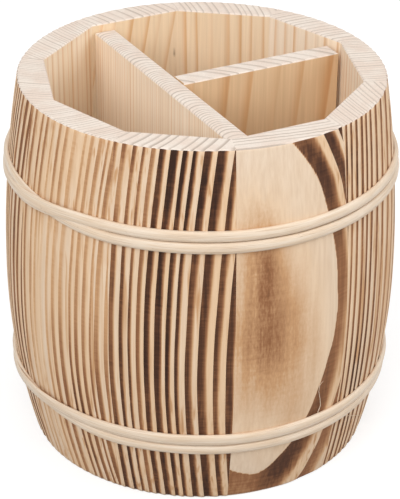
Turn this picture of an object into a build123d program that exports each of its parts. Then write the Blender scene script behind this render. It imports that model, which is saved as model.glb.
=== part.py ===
from build123d import *
import os
from math import atan2, copysign, cos, degrees, radians, sin

# A small coopered caddy: ten mitred staves, turned round outside and left flat inside, round a floor
# of two boards, held by two hoops of two shaved cane strips each, with a T-shaped insert that stands
# loose on the floor and makes three compartments. Millimetres, +Z up, Z = 0 where the caddy rests,
# the Z axis through the middle of the barrel. One flat stave faces -Y and one faces +Y.

# Barrel, outside
height = 142.5
rim_radius = 66.5
belly_radius = 72.85
belly_height = 66.3
base_radius = 63.85
rim_edge_break = 0.4
foot_edge_break = 0.8

# Staves, inside
stave_count = 10
inside_flat = 55.3          # from the axis to the flat inner face of a stave

# Floor, held in a groove near the foot of the staves
floor_thickness = 7.0
floor_underside = 8.0
groove_depth = 4.0
groove_end_clearance = 0.3
groove_top_clearance = 0.2

# Loose T-shaped insert
divider_thickness = 8.2
divider_below_rim = 3.0
long_divider_x = -12.8      # middle of the long divider
short_divider_y = 1.7       # middle of the short divider
insert_wall_clearance = 0.35
divider_edge_break = 0.4

# Hoops: two strips each, side by side, changing places at two crossings
upper_hoop_height = 110.5
upper_strip_a_width = 3.9
upper_strip_b_width = 4.0
lower_hoop_height = 28.1
lower_strip_a_width = 3.8
lower_strip_b_width = 4.35
strip_thickness = 1.6
strip_edge_thickness = 0.6
strip_bevel = 1.3           # how far the shaved shoulder of a strip reaches in from its edge
crossing_thickness = 1.0    # a strip is shaved thinner where the two cross
strip_gap = 0.3             # between a strip and its neighbour
hoop_seat = 0.25            # between a strip and the barrel
upper_left_crossing_angle = 195.0
lower_left_crossing_angle = 184.0
right_crossing_angle = 20.0
crossing_half_span = 28.0   # degrees on each side over which a strip changes its place
crossing_lag = 9.0          # degrees by which the inner strip turns first, seen from the front
crossing_lead = 12.0        # degrees over which the strips thin and the outer one rises before that
upper_hoop_lift = 0.6       # how much higher a hoop sits at its highest, on the right
lower_hoop_lift = 1.2
lift_angle = -30.0
lift_reach = 70.0
lap_span = 24.0             # degrees by which the two ends of a strip overlap
lap_lead = 8.0
lap_tip_thickness = 0.8
strip_a_lap_angle = 78.0
strip_b_lap_angle = 106.0
section_step = 6.0          # degrees from one strip section to the next

half_stave = 180.0 / stave_count
groove_height = floor_thickness + groove_top_clearance
floor_top = floor_underside + floor_thickness
divider_top = height - divider_below_rim


# Barrel and staves

def barrel_radius(z):
    """Outside radius of the barrel at height z, on the arc above or below the belly."""
    end_radius, end_height = (rim_radius, height) if z > belly_height else (base_radius, 0.0)
    rise = end_height - belly_height
    bulge = belly_radius - end_radius
    arc_radius = (rise ** 2 + bulge ** 2) / (2 * bulge)
    reach = (arc_radius ** 2 - (z - belly_height) ** 2) ** 0.5
    return belly_radius - arc_radius + copysign(reach, bulge)


def turned_sector():
    """The solid sector between two stave joints, turned round outside, both end edges broken."""
    belly = (belly_radius, belly_height)
    foot_edge = (barrel_radius(foot_edge_break), foot_edge_break)
    rim_edge = (barrel_radius(height - rim_edge_break), height - rim_edge_break)
    outline = [
        Line((0, 0), (base_radius - foot_edge_break, 0)),
        Line((base_radius - foot_edge_break, 0), foot_edge),
        TangentArc(belly, foot_edge, tangent=(0, -1)),
        TangentArc(belly, rim_edge, tangent=(0, 1)),
        Line(rim_edge, (rim_radius - rim_edge_break, height)),
        Line((rim_radius - rim_edge_break, height), (0, height)),
        Line((0, height), (0, 0)),
    ]
    return revolve(Plane.XZ * make_face(outline), Axis.Z, revolution_arc=2 * half_stave)


def inside_prism(flat, bottom, top):
    """A regular prism as wide as the staves' flats, with its corners at the stave joints."""
    polygon = RegularPolygon(flat, stave_count, major_radius=False)
    corner = polygon.vertices().sort_by(Axis.X)[-1]
    if abs(corner.Y) > 1e-6:
        polygon = Rot(0, 0, half_stave) * polygon
    return extrude(Pos(0, 0, bottom) * polygon, top - bottom)


def first_stave():
    """The stave between the joint on the +X axis and the next joint round, grooved for the floor."""
    stave = turned_sector() - inside_prism(inside_flat, 0, height)
    mouth = stave.faces().sort_by(Axis.Z)[-1].edges().filter_by(GeomType.LINE).sort_by(Edge.length)[-1]
    stave = chamfer(mouth, rim_edge_break)
    return stave - inside_prism(inside_flat + groove_depth, floor_underside, floor_underside + groove_height)


# Floor

def floor_boards():
    """The two glued floor boards, left and right of the joint over the axis."""
    panel_flat = inside_flat + groove_depth - groove_end_clearance
    panel = inside_prism(panel_flat, floor_underside, floor_top)
    left = split(panel, Plane.YZ, keep=Keep.BOTTOM)
    right = split(panel, Plane.YZ, keep=Keep.TOP)
    return left, right


# Insert

def divider_board(x_low, x_high, y_low, y_high):
    """An upright board that stands on the floor, its four upper edges broken."""
    middle = Pos((x_low + x_high) / 2, (y_low + y_high) / 2, floor_top)
    board = extrude(middle * Rectangle(x_high - x_low, y_high - y_low), divider_top - floor_top)
    return chamfer(board.faces().sort_by(Axis.Z)[-1].edges(), divider_edge_break)


def long_divider():
    """The board across the whole inside, square to the front and back staves."""
    reach = inside_flat - insert_wall_clearance
    half = divider_thickness / 2
    return divider_board(long_divider_x - half, long_divider_x + half, -reach, reach)


def short_divider():
    """The board from the long divider to the corner on the +X axis, its far end cut square."""
    half = divider_thickness / 2
    widest = abs(short_divider_y) + half
    wall = (inside_flat - widest * sin(radians(half_stave))) / cos(radians(half_stave))
    near_end, far_end = long_divider_x + half, wall - insert_wall_clearance
    return divider_board(near_end, far_end, short_divider_y - half, short_divider_y + half)


# Hoops

def ease(share):
    """A smooth step from 0 to 1."""
    share = min(max(share, 0.0), 1.0)
    return share * share * (3 - 2 * share)


def turn_between(angle, centre):
    """The signed angle from centre to angle, within half a turn."""
    return (angle - centre + 180) % 360 - 180


def place_side(angle, left_turn, right_turn):
    """-1 in front, between the angles where a strip changes places, 1 behind, smooth between."""
    from_left = turn_between(angle, left_turn) / crossing_half_span
    from_right = turn_between(angle, right_turn) / crossing_half_span
    if abs(from_left) < 1:
        return 1 - 2 * ease((from_left + 1) / 2)
    if abs(from_right) < 1:
        return 2 * ease((from_right + 1) / 2) - 1
    across_front = (right_turn - left_turn) % 360
    return -1 if (angle - left_turn) % 360 < across_front else 1


def crossing_share(angle, crossing):
    """0 along the barrel and 1 where the two strips may lie over each other."""
    away = abs(turn_between(angle, crossing))
    return ease((crossing_half_span + crossing_lag + crossing_lead - away) / crossing_lead)


def strip_thickness_at(run, angle, crossings):
    """Thickness at a place on the strip, thinned at the crossings and towards both lapped ends."""
    thinned = max(crossing_share(angle, crossing) for crossing in crossings)
    full = strip_thickness - (strip_thickness - crossing_thickness) * thinned
    from_end = min(run, 360 + lap_span - run) / lap_span
    return lap_tip_thickness + (full - lap_tip_thickness) * min(from_end, 1.0)


def lap_rise(run, angle, crossings):
    """How far the last end stands off the barrel, to lie over the first end."""
    if run < 360:
        return ease((run - 360 + lap_lead) / lap_lead) * (lap_tip_thickness + strip_gap)
    return strip_thickness_at(run - 360, angle, crossings) + strip_gap


def hoop_lift(angle, lift):
    """How much higher the hoop sits at this angle."""
    return lift * ease(1 - abs(turn_between(angle, lift_angle)) / lift_reach)


def strip_section(angle, middle, width, rise, thickness):
    """A strip's cross-section at one angle round the barrel: flat back, shaved shoulders."""
    low, high = middle - width / 2, middle + width / 2
    low_radius = barrel_radius(low) + hoop_seat + rise
    high_radius = barrel_radius(high) + hoop_seat + rise
    facing = Plane((0, 0, 0), x_dir=(cos(radians(angle)), sin(radians(angle)), 0),
                   z_dir=(sin(radians(angle)), -cos(radians(angle)), 0))
    back_middle = Pos((low_radius + high_radius) / 2, middle)
    lean = degrees(atan2(low_radius - high_radius, width))
    half = width / 2
    edge = min(strip_edge_thickness, thickness / 2)
    shoulder = half - strip_bevel
    lower_half = [(0, -half), (edge, -half), (thickness, -shoulder)]
    corners = lower_half + [(out, -along) for out, along in reversed(lower_half)]
    return facing * (back_middle * (Rot(0, 0, lean) * make_face(Polyline(corners, close=True))))


def hoop_strip(middle, width, partner_width, lap_angle, upper_sign, over_crossing, crossings, lift):
    """One strip of a hoop, from its thinned first end once round to lie over itself."""
    spacing = (partner_width + strip_gap) / 2
    left, right = crossings
    left_turn = left - crossing_lag if over_crossing == left else left + crossing_lag
    right_turn = right + crossing_lag if over_crossing == right else right - crossing_lag
    count = round((360 + lap_span) / section_step)
    sections = []
    for index in range(count + 1):
        run = (360 + lap_span) * index / count
        angle = lap_angle + run
        side = upper_sign * place_side(angle, left_turn, right_turn)
        rise = crossing_share(angle, over_crossing) * (crossing_thickness + strip_gap)
        rise += lap_rise(run, angle, crossings)
        height_here = middle + side * spacing + hoop_lift(angle, lift)
        thickness = strip_thickness_at(run, angle, crossings)
        sections.append(strip_section(angle, height_here, width, rise, thickness))
    return loft(sections, ruled=True)


def hoop(middle, a_width, b_width, left, lift):
    """Strips A and B of one hoop: B passes over at the left crossing, A at the right one."""
    right = right_crossing_angle
    strip_a = hoop_strip(middle, a_width, b_width, strip_a_lap_angle, 1, right, (left, right), lift)
    strip_b = hoop_strip(middle, b_width, a_width, strip_b_lap_angle, -1, left, (left, right), lift)
    return strip_a, strip_b


# Assembly

def build_nodes():
    """Every piece in its place, by node name."""
    nodes = {}
    stave = first_stave()
    for index in range(stave_count):
        nodes[f"stave_{index + 1:02d}"] = Rot(0, 0, 2 * half_stave * index) * stave
    nodes["floor_board_left"], nodes["floor_board_right"] = floor_boards()
    nodes["long_divider"] = long_divider()
    nodes["short_divider"] = short_divider()
    upper_widths = (upper_strip_a_width, upper_strip_b_width)
    lower_widths = (lower_strip_a_width, lower_strip_b_width)
    upper = hoop(upper_hoop_height, *upper_widths, upper_left_crossing_angle, upper_hoop_lift)
    lower = hoop(lower_hoop_height, *lower_widths, lower_left_crossing_angle, lower_hoop_lift)
    nodes["upper_hoop_strip_a"], nodes["upper_hoop_strip_b"] = upper
    nodes["lower_hoop_strip_a"], nodes["lower_hoop_strip_b"] = lower
    return nodes


os.makedirs("parts", exist_ok=True)
for name, shape in build_nodes().items():
    export_step(shape, f"parts/{name}.step")
    print(name, f"{shape.volume:.0f} mm3")
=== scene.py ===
"""The looks of a small coopered caddy.

Ten mitred staves are charred and brushed outside and left bare inside, two hoops of split cane go round
them, and a T-shaped insert stands loose on the floor. Sizes are in millimetres until a mesh is shaped,
and a mesh is in metres. Every board has growth rings of its own, and the same rings give it its burnt
grooves, its grain and its end grain.
"""

import logging
import math
from collections.abc import Callable
from dataclasses import dataclass, field
from enum import Enum

import bpy
import numpy as np
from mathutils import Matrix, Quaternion, Vector


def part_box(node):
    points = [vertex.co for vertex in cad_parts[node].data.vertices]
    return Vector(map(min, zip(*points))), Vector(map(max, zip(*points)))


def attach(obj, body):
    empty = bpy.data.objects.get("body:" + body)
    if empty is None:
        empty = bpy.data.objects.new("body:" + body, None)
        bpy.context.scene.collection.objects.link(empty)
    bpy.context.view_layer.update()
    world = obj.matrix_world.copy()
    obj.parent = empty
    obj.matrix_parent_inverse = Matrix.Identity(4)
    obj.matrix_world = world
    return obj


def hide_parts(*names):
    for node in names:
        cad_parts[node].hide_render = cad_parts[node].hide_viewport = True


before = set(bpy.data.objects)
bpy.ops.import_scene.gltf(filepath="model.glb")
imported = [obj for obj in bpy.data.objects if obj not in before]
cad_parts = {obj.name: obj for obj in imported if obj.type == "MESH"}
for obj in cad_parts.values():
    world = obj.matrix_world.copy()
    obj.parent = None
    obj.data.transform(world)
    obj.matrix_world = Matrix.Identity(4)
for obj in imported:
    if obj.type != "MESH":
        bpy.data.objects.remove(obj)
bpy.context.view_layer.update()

log = logging.getLogger("caddy")

MM = 0.001
SEAM = 1e-6
HALF_STAVE = math.radians(18)
Array = np.ndarray
Piece = bpy.types.Object
Finish = bpy.types.Material
Colour = tuple[float, float, float, float]

BLACK: Colour = (0.0, 0.0, 0.0, 1.0)
WHITE: Colour = (1.0, 1.0, 1.0, 1.0)


class Slot(Enum):
    """The names of the record's material slots, one for each kind of finish."""

    CHARRED = "charred_cedar"
    BARE = "bare_cedar"
    CANE = "split_cane"


class Body(Enum):
    """The bodies that pieces ride on."""

    TUB = "tub"
    INSERT = "divider_insert"


class Note(Enum):
    """The numbers that a mesh keeps at its corners, for its finish to read."""

    RINGS = "rings"
    SCORCH = "scorch"
    SMOKE = "smoke"
    LINES = "lines"
    # How tan bare wood is: partly the wood's own colour, partly painted light and shade, set per board and
    # stave.
    TONE_AND_PAINTED_LIGHT = "tone"
    END_RATE = "end_rate"
    MARKS = "marks"
    ALONG = "along"
    ACROSS = "across"
    EDGE = "edge"


# Growth rings


def ease(share: Array) -> Array:
    """A smooth step from 0 to 1."""
    share = np.clip(share, 0.0, 1.0)
    return share * share * (3 - 2 * share)


def ripple(first: Array, second: Array | float, seed: float) -> Array:
    """A slow uneven wave over two lengths, between about -1 and 1.

    Args:
        first: a length in waves along one way.
        second: a length in waves along the other.
        seed: a number that makes one wave differ from the next.

    Returns:
        The height of the wave at each place.
    """
    wave = np.sin(1.0 * first + 0.7 * second + 1.3 * seed)
    wave = wave + np.sin(1.9 * first - 1.1 * second + 2.1 * seed)
    wave = wave + 0.6 * np.sin(3.7 * first + 2.3 * second + 3.7 * seed)
    return wave / 2.6


@dataclass(frozen=True)
class RingScale:
    """How the rings of a board follow one another.

    Attributes:
        first: where the first ring starts, in mm from the pith.
        widths: the width of each ring, in mm.
        soft: the share of each ring that is soft wood, which burns deep.
        burn: how dark the fire left the soft wood of each ring, from 0 to 1.
    """

    first: float
    widths: tuple[float, ...]
    soft: tuple[float, ...]
    burn: tuple[float, ...]

    def count(self, distance: Array) -> Array:
        """The ring count: whole at each sharp edge, and a half where the soft wood ends.

        Args:
            distance: how far each place lies from the pith, in mm.

        Returns:
            The count, which runs on evenly before the first ring and past the last.
        """
        widths = np.array(self.widths)
        edges = self.first + np.concatenate([[0.0], np.cumsum(widths)])
        places = np.sort(np.concatenate([edges, edges[:-1] + widths * np.array(self.soft)]))
        past = distance - np.clip(distance, places[0], places[-1])
        return np.interp(distance, places, np.arange(len(places)) / 2) + past / widths.mean()

    def burn_at(self, count: Array) -> Array:
        """How dark the fire left the ring that each count lies in."""
        ring = np.clip(np.floor(count).astype(int), 0, len(self.burn) - 1)
        return np.array(self.burn)[ring]


@dataclass(frozen=True)
class Rings:
    """The growth rings of one board.

    Attributes:
        scale: how they follow one another.
    """

    scale: RingScale

    def count(self, across: Array, out: Array, up: Array) -> Array:
        """The ring count at each place in the board.

        Args:
            across: the places across the board, in mm.
            out: the places through the board, in mm.
            up: the places' heights, in mm.

        Returns:
            The count on the board's scale.
        """
        return self.scale.count(self._distance(across, out, up))

    def _distance(self, across: Array, out: Array, up: Array) -> Array:
        """How far out on the scale each place lies, which each kind of ring works out for itself."""
        raise NotImplementedError


@dataclass(frozen=True)
class PithRings(Rings):
    """Rings round a pith that leans, as in a board sawn along the trunk.

    Attributes:
        across: the pith's place across the board, in mm.
        out: the pith's place through the board, in mm.
        lean_across: how far the pith moves across for each mm up.
        lean_out: how far it moves through the board for each mm up.
        cup: how much more the rings curve than the pith's distance gives, per mm.
        waver: how far a ring strays from its circle, in mm.
        middle_up: the height at which the pith's place is given, in mm.
    """

    across: float
    out: float
    lean_across: float = 0.0
    lean_out: float = 0.0
    cup: float = 0.0
    waver: float = 0.12
    middle_up: float = 75.0

    def _distance(self, across: Array, out: Array, up: Array) -> Array:
        """How far each place lies from the pith.

        Args:
            across: the places across the board, in mm.
            out: the places through the board, in mm.
            up: the places' heights, in mm.

        Returns:
            The distances, in mm.
        """
        height = up - self.middle_up
        away_across = across - self.across - self.lean_across * height
        away_out = out - self.out - self.lean_out * height
        distance = np.hypot(away_across, away_out) + self.cup * out ** 2
        return distance + self.waver * ripple(up / 17, distance / 5, self.across)


@dataclass(frozen=True)
class CathedralRings(Rings):
    """Rings that run nearly flat under the face, and so draw one pointed oval inside another.

    Attributes:
        middle_across: the ovals' middle across the board, in mm.
        middle_up: the ovals' middle height, in mm.
        left_width: how far the innermost oval reaches to the left of its middle, in mm.
        right_width: how far it reaches to the right, in mm.
        half_height: half its height, in mm.
        fullness: the powers that give the oval its lower and its upper end.
        lower_spread: how much closer the ovals lie for each mm down from the middle.
        depth_step: how fast the rings change with depth, per mm.
    """

    middle_across: float
    middle_up: float
    left_width: float
    right_width: float
    half_height: float
    fullness: tuple[float, float]
    lower_spread: float
    depth_step: float

    def _distance(self, across: Array, out: Array, up: Array) -> Array:
        """How far each place lies outside the innermost oval.

        Args:
            across: the places across the board, in mm.
            out: the places through the board, in mm.
            up: the places' heights, in mm.

        Returns:
            The distances in steps, one step being as far as the innermost oval reaches.
        """
        surface = BARREL.radius(up)
        arc = np.arctan2(across, out) * surface
        away = arc - self.middle_across
        sideways = np.abs(away) / np.where(away < 0, self.left_width, self.right_width)
        height = up - self.middle_up
        power = np.where(height < 0, *self.fullness)
        oval = (sideways ** power + (np.abs(height) / self.half_height) ** power) ** (1 / power)
        step = (oval - 1) * (1 + self.lower_spread * height)
        step = step + self.depth_step * (surface - np.hypot(across, out))
        return step + 0.012 * ripple(up / 9, arc / 14, 2.0)


# The tub


@dataclass(frozen=True)
class Barrel:
    """The outside and inside sizes of the tub, in mm."""

    height: float = 142.5
    rim_radius: float = 66.5
    belly_radius: float = 72.85
    belly_height: float = 66.3
    base_radius: float = 63.85
    inside_flat: float = 55.3
    rim_edge: float = 0.4
    foot_edge: float = 0.8
    groove_bottom: float = 8.0
    groove_top: float = 15.2
    groove_depth: float = 4.0

    def radius(self, up: Array) -> Array:
        """The outside radius, on one arc above the belly and another below.

        Args:
            up: heights, in mm.

        Returns:
            The radius at each height, in mm.
        """
        above = up > self.belly_height
        rise = np.where(above, self.height, 0.0) - self.belly_height
        bulge = self.belly_radius - np.where(above, self.rim_radius, self.base_radius)
        arc_radius = (rise ** 2 + bulge ** 2) / (2 * bulge)
        reach = np.sqrt(np.maximum(arc_radius ** 2 - (up - self.belly_height) ** 2, 0.0))
        return self.belly_radius - arc_radius + reach


BARREL = Barrel()


@dataclass(frozen=True)
class Patch:
    """A soft-edged patch of more or less scorch on a stave's face.

    Attributes:
        across: its middle, in mm round the face from the stave's middle.
        up: its middle's height, in mm.
        half_width: how far it reaches sideways, in mm.
        half_height: how far it reaches up and down, in mm.
        amount: what it adds, below 0 where it takes away.
    """

    across: float
    up: float
    half_width: float
    half_height: float
    amount: float

    def at(self, arc: Array, up: Array) -> Array:
        """What the patch adds at each place."""
        away = ((arc - self.across) / self.half_width) ** 2 + ((up - self.up) / self.half_height) ** 2
        return self.amount * np.exp(-away)


def add_patches(start: Array, patches: tuple[Patch, ...], arc: Array, up: Array) -> Array:
    """A start with every patch added to it."""
    return sum((patch.at(arc, up) for patch in patches), start)


@dataclass(frozen=True)
class Scorch:
    """How the fire took a stave's face.

    Attributes:
        base: the scorch all over, from 0 to 1.
        patches: where there is more or less of it.
        smoke: the patches of brown haze, which lies over soft and hard wood alike.
    """

    base: float
    patches: tuple[Patch, ...] = ()
    smoke: tuple[Patch, ...] = ()

    def at(self, arc: Array, up: Array) -> Array:
        """The scorch at each place, from 0 to about 1."""
        uneven = self.base + 0.1 * ripple(arc / 9, up / 26, self.base * 10)
        return np.clip(add_patches(uneven, self.patches, arc, up), 0.05, 1.15)

    def smoke_at(self, arc: Array, up: Array) -> Array:
        """The haze at each place, from 0 to 1."""
        return np.clip(add_patches(np.zeros_like(arc), self.smoke, arc, up), 0.0, 1.0)


# Meshes


def deselect_all() -> None:
    """Deselects every object, so that an operator acts on what comes next alone."""
    bpy.ops.object.select_all(action="DESELECT")


def add_grid(name: str, across: int, up: int) -> Piece:
    """Adds a flat grid of cells, a metre square, as the start of a piece.

    Args:
        name: the piece's name.
        across: how many cells wide it is.
        up: how many cells tall it is.

    Returns:
        The new object.
    """
    deselect_all()
    bpy.ops.mesh.primitive_grid_add(x_subdivisions=across, y_subdivisions=up, size=1)
    bpy.context.object.name = name
    return bpy.context.object


def edit(piece: Piece, *steps: Callable[[], object]) -> None:
    """Works on one piece in edit mode.

    Args:
        piece: the piece, which alone is selected.
        steps: the operators to run, in order.
    """
    deselect_all()
    piece.select_set(True)
    bpy.context.view_layer.objects.active = piece
    bpy.ops.object.mode_set(mode="EDIT")
    for step in steps:
        step()
    bpy.ops.object.mode_set(mode="OBJECT")


def select_whole() -> None:
    """Selects the whole mesh, in edit mode."""
    bpy.ops.mesh.select_all(action="SELECT")


def face_outwards() -> None:
    """Turns the selected faces outwards, in edit mode."""
    bpy.ops.mesh.normals_make_consistent(inside=False)


def close_tube(piece: Piece) -> None:
    """Joins the seam of a rolled grid and closes both its ends."""
    edit(piece, select_whole, lambda: bpy.ops.mesh.remove_doubles(threshold=SEAM),
         lambda: bpy.ops.mesh.fill_holes(sides=0))


def settle(piece: Piece, crease_deg: float) -> None:
    """Turns all faces outwards and smooths every edge flatter than the crease angle."""
    edit(piece, select_whole, face_outwards)
    bpy.ops.object.shade_smooth_by_angle(angle=math.radians(crease_deg))


def read_corners(piece: Piece) -> Array:
    """The corners of a mesh.

    Args:
        piece: the mesh's object.

    Returns:
        The corners as the mesh has them, one row each.
    """
    corners = np.zeros(len(piece.data.vertices) * 3)
    piece.data.vertices.foreach_get("co", corners)
    return corners.reshape(-1, 3)


def write_corners(piece: Piece, corners_mm: Array) -> None:
    """Puts a mesh's corners at places given in mm."""
    piece.data.vertices.foreach_set("co", (corners_mm * MM).astype(np.float32).ravel())
    piece.data.update()


def round_axis(radius: Array, angle: Array, up: Array) -> Array:
    """Places given by a radius, an angle in radians and a height, one row each."""
    return np.stack([radius * np.cos(angle), radius * np.sin(angle), up], axis=1)


def keep_notes(piece: Piece, notes: dict[Note, Array | float]) -> None:
    """Keeps numbers at the corners of a mesh, for its finish to read.

    Args:
        piece: the mesh's object.
        notes: one number for every corner, or one for all of them.
    """
    for name, values in notes.items():
        kept = piece.data.attributes.new(name.value, "FLOAT", "POINT")
        kept.data.foreach_set("value", np.full(len(piece.data.vertices), values, np.float32))


def seat(piece: Piece, body: Body, slot: Slot, node: str = "") -> None:
    """Lets a piece ride on its body, and hides the solid that it stands for.

    Args:
        piece: the finished piece.
        body: the body that it moves with.
        slot: the slot that its finish belongs to; not used.
        node: the node whose solid it stands for, if it stands for one.
    """
    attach(piece, body.value)
    if node:
        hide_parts(node)


@dataclass
class CellBlock:
    """A closed block of cells, ready to be bent into a board or a stave.

    Attributes:
        name: the piece's name.
        across: how many cells wide it is.
        up: how many cells tall it is.
        deep: how many cells deep its sides are.
        piece: the block's object.
        i: each corner's column, from 0 to across.
        j: each corner's row, from 0 to up.
        k: each corner's layer, from 0 in front to deep at the back.
    """

    name: str
    across: int
    up: int
    deep: int
    piece: Piece = field(init=False)
    i: Array = field(init=False)
    j: Array = field(init=False)
    k: Array = field(init=False)

    def __post_init__(self) -> None:
        """Extrudes a grid into a block and divides its sides."""
        self.piece = add_grid(self.name, self.across, self.up)
        back = {"value": (0, 0, -1)}
        edit(self.piece, select_whole, lambda: bpy.ops.mesh.extrude_region_move(TRANSFORM_OT_translate=back))
        self._select_depth_edges()
        cuts = self.deep - 1
        edit(self.piece, lambda: bpy.ops.mesh.subdivide(number_cuts=cuts), select_whole, face_outwards)
        corners = read_corners(self.piece)
        self.i = np.rint((corners[:, 0] + 0.5) * self.across).astype(int)
        self.j = np.rint((corners[:, 1] + 0.5) * self.up).astype(int)
        self.k = np.rint(-corners[:, 2] * self.deep).astype(int)

    def _select_depth_edges(self) -> None:
        """Selects the edges that run from the front of the block to its back."""
        mesh = self.piece.data
        heights = read_corners(self.piece)[:, 2]
        ends = np.zeros(len(mesh.edges) * 2, int)
        mesh.edges.foreach_get("vertices", ends)
        first, last = heights[ends[0::2]], heights[ends[1::2]]
        mesh.vertices.foreach_set("select", np.zeros(len(mesh.vertices), bool))
        mesh.polygons.foreach_set("select", np.zeros(len(mesh.polygons), bool))
        mesh.edges.foreach_set("select", np.abs(first - last) > 0.5)
        bpy.context.tool_settings.mesh_select_mode = (False, True, False)

    def _faces_where(self, test: Array) -> Array:
        """Which faces pass a test of the corners.

        Args:
            test: whether each corner passes.

        Returns:
            Whether each face has no corner that fails.
        """
        mesh = self.piece.data
        loops = np.zeros(len(mesh.loops), int)
        mesh.loops.foreach_get("vertex_index", loops)
        starts = np.zeros(len(mesh.polygons), int)
        mesh.polygons.foreach_get("loop_start", starts)
        return np.logical_and.reduceat(test[loops], starts)

    def paint(self, sides: tuple[Finish, ...], rest: int, regions: tuple[tuple[Array, int], ...]) -> None:
        """Gives each face one of the piece's finishes.

        Args:
            sides: the finishes, in the order of the piece's slots.
            rest: the slot of the faces that are in no region.
            regions: a test of the corners, and the slot of the faces in it. The last one wins.
        """
        mesh = self.piece.data
        for finish in sides:
            mesh.materials.append(finish)
        slots = np.full(len(mesh.polygons), rest)
        for test, slot in regions:
            slots[self._faces_where(test)] = slot
        mesh.polygons.foreach_set("material_index", slots)


# Staves


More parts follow.
